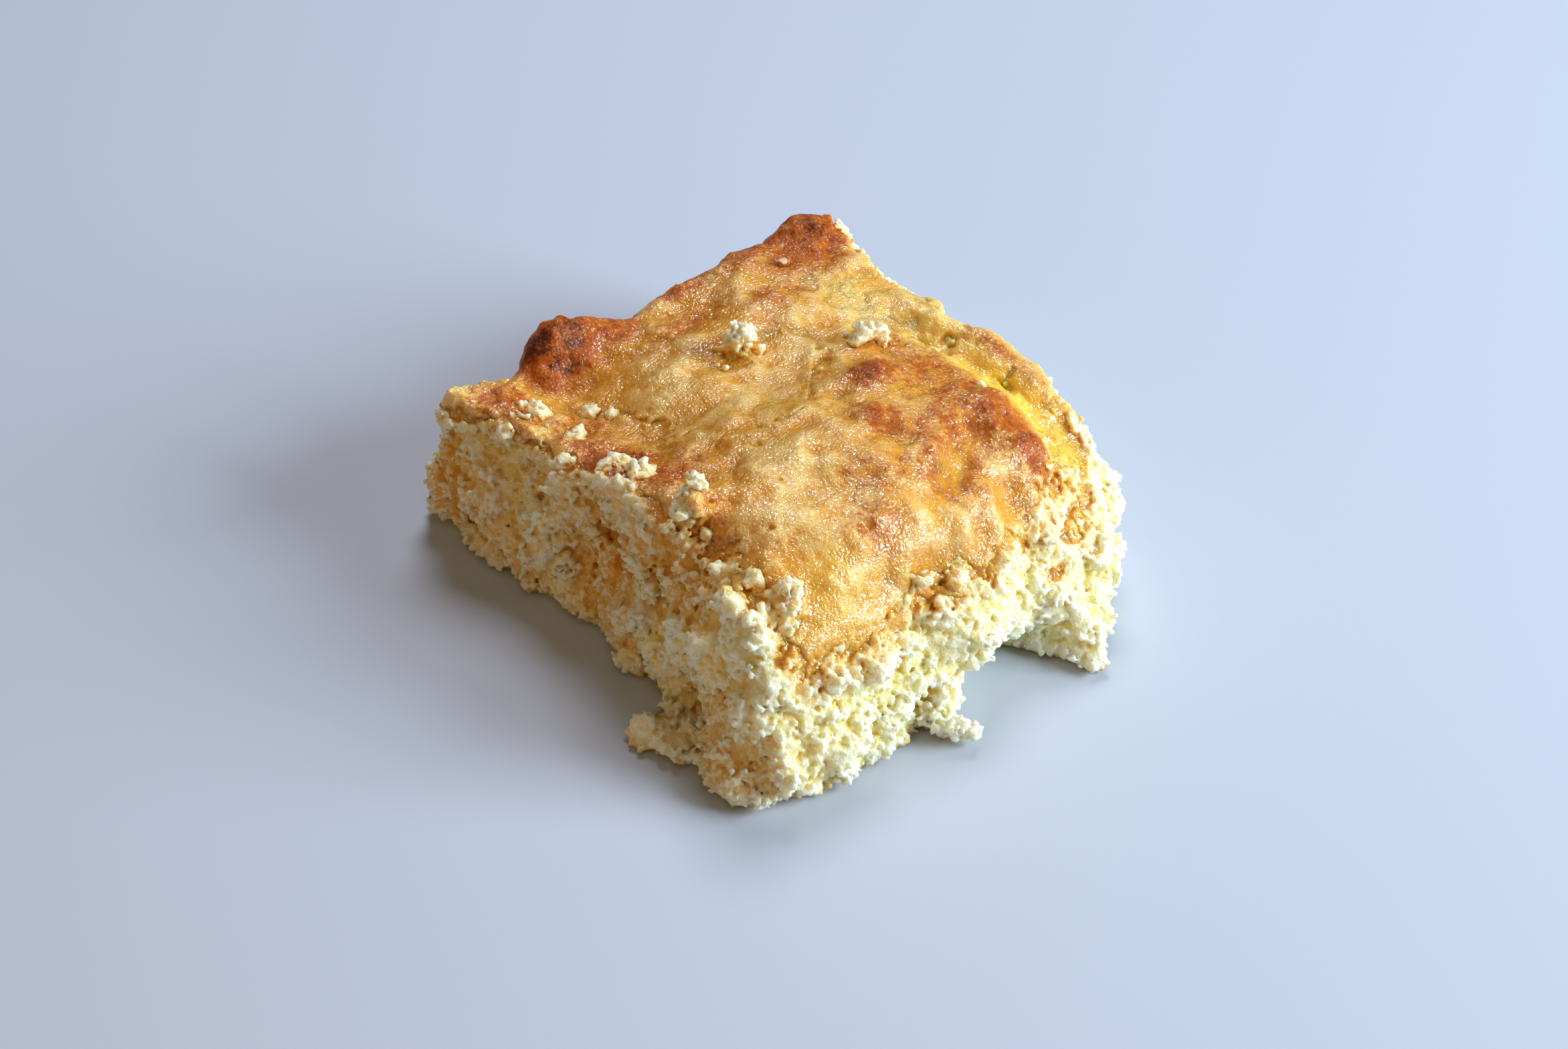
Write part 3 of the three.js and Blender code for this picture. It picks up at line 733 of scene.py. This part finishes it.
def crust_colour(s, brown, middle):
    """Amber, with cream as painted light where it stands out and amber as painted shade in its hollows,
    browned patches over that, and butter over those.
    """
    cream = s.remap(s.noise(6.0, 2.0), 0.35, 0.65, -0.25, 0.25)
    cream = s.math("ADD", cream, s.remap(middle, 0.3, 0.7, -0.35, 0.35))
    # Painted light and shade: cream where the crust stands out, amber in its hollows.
    cream = s.math("ADD", cream, s.remap(s.value("hollow_shade"), 0.42, 0.58, 0.5, -0.5))
    cream = s.math("ADD", cream, s.value("pale"))
    colour = s.mix(s.remap(cream, -0.2, 0.95), CRUST_AMBER, CRUST_CREAM)
    colour = s.mix(s.remap(brown, 0.15, 0.75), colour, CRUST_BROWN)
    colour = s.mix(s.remap(brown, 0.9, 1.3), colour, CRUST_DARK)
    colour = s.mix(s.value("butter"), colour, BUTTER_YELLOW)
    # Pale round grains 0.8 mm apart, in patches, which fade where the crust is brown; partly cornmeal grain,
    # partly painted highlights for the crust's sparkle.
    spacing = s.grains(0.8)
    grain_and_glint = s.math("MULTIPLY", s.math("MULTIPLY", spacing, spacing), 5.5)
    grain_and_glint = s.math("SUBTRACT", 1.0, grain_and_glint, clamp=True)
    grain_and_glint = s.math("MULTIPLY", grain_and_glint, s.remap(s.noise(1.6, 2.0), 0.4, 0.6, 0.1, 0.65))
    grain_and_glint = s.math("MULTIPLY", grain_and_glint, s.remap(brown, 0.1, 0.8, 1.0, 0.2))
    return s.mix(grain_and_glint, colour, CRUST_CREAM)


def add_shine(s, browned, brown, specks):
    """Wet spots on a dull crust, closer in patches and few where it is brown; the crumb is dull."""
    wet = s.remap(s.noise(1.8, 2.0), 0.42, 0.6, 0.66, 0.5)
    s.join(s.between(browned, 0.6, wet), s.principled.inputs["Roughness"])
    spots = s.remap(specks, 0.55, 0.26, 0.15, 1.0)
    spots = s.math("MULTIPLY", spots, s.remap(s.noise(3.5, 2.0), 0.4, 0.6, 0.65, 1.0))
    shine = s.math("MULTIPLY", browned, spots)
    shine = s.math("MULTIPLY", shine, s.remap(brown, 0.3, 1.0, 1.0, 0.15))
    s.join(shine, s.principled.inputs["Coat Weight"])
    s.principled.inputs["Coat Roughness"].default_value = 0.18
    s.principled.inputs["Coat IOR"].default_value = 2.5
    s.principled.inputs["IOR"].default_value = 1.36
    s.principled.inputs["Specular IOR Level"].default_value = 0.35


def add_bump(s, browned, specks):
    """Small grains in the crumb and pebbles in the crust."""
    bump = s.nodes.new("ShaderNodeBump")
    bump.inputs["Distance"].default_value = 0.35 * MM
    s.join(s.between(browned, 0.42, 0.66), bump.inputs["Strength"])
    granular = s.math("ADD", s.remap(specks, 0.0, 0.7, 1.0, 0.0), s.noise(0.3, 2.0))
    pebbled = s.math("ADD", s.noise(0.42, 1.0, 0.5), s.math("MULTIPLY", s.noise(1.1, 1.0, 0.5), 0.6))
    s.join(s.between(browned, granular, pebbled), bump.inputs["Height"])
    s.join(bump.outputs["Normal"], s.principled.inputs["Normal"])
    s.join(bump.outputs["Normal"], s.principled.inputs["Coat Normal"])


def food_material():
    """Crumb and crust in one material; what the points of a piece say tells them apart."""
    s = Shader("cornbread")
    fine, middle, specks = s.noise(0.55, 2.0), s.noise(2.2, 3.0), s.grains(0.5)
    brown = s.math("ADD", s.value("brown"), s.remap(middle, 0.3, 0.7, -0.3, 0.3))
    brown = s.math("ADD", brown, s.remap(fine, 0.3, 0.7, -0.15, 0.15))
    ragged = s.math("ADD", s.value("crust"), s.remap(fine, 0.3, 0.7, -0.2, 0.2))
    browned = s.remap(ragged, 0.25, 0.75)
    colour = s.mix(browned, crumb_colour(s, specks, middle), crust_colour(s, brown, middle))
    s.join(colour, s.principled.inputs["Base Color"])
    add_shine(s, browned, brown, specks)
    add_bump(s, browned, specks)
    s.principled.inputs["Subsurface Weight"].default_value = 0.8
    s.principled.inputs["Subsurface Radius"].default_value = (1.0, 0.74, 0.34)
    s.principled.inputs["Subsurface Scale"].default_value = 2.4 * MM
    return s.material


# ---------------------------------------------------------------- the scene

add_camera()
add_floor()
add_light()
grid = Grid(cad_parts[NODE])
draw = np.random.default_rng(SEED)
skin = Skin(grid, draw)
fields = {"crumb": carve_crumb(grid, skin, draw), "crust": carve_crust(skin)}
# How full the space round each point is, for the painted light and shade in the colours of crust and crumb.
occupancy = blur((np.minimum(fields["crumb"], fields["crust"]) < 0).astype(np.float32), HOLLOW_MM)
material = food_material()
for name, field in fields.items():
    points, faces = largest_part(*grid.to_mesh(field))
    piece = new_mesh(name, points, outward(points, faces))
    thin_out(piece, TRIANGLES)
    paint(piece, grid, skin, occupancy)
    piece.data.materials.clear()
    piece.data.materials.append(material)
    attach(piece, "root")
    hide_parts(NODE)
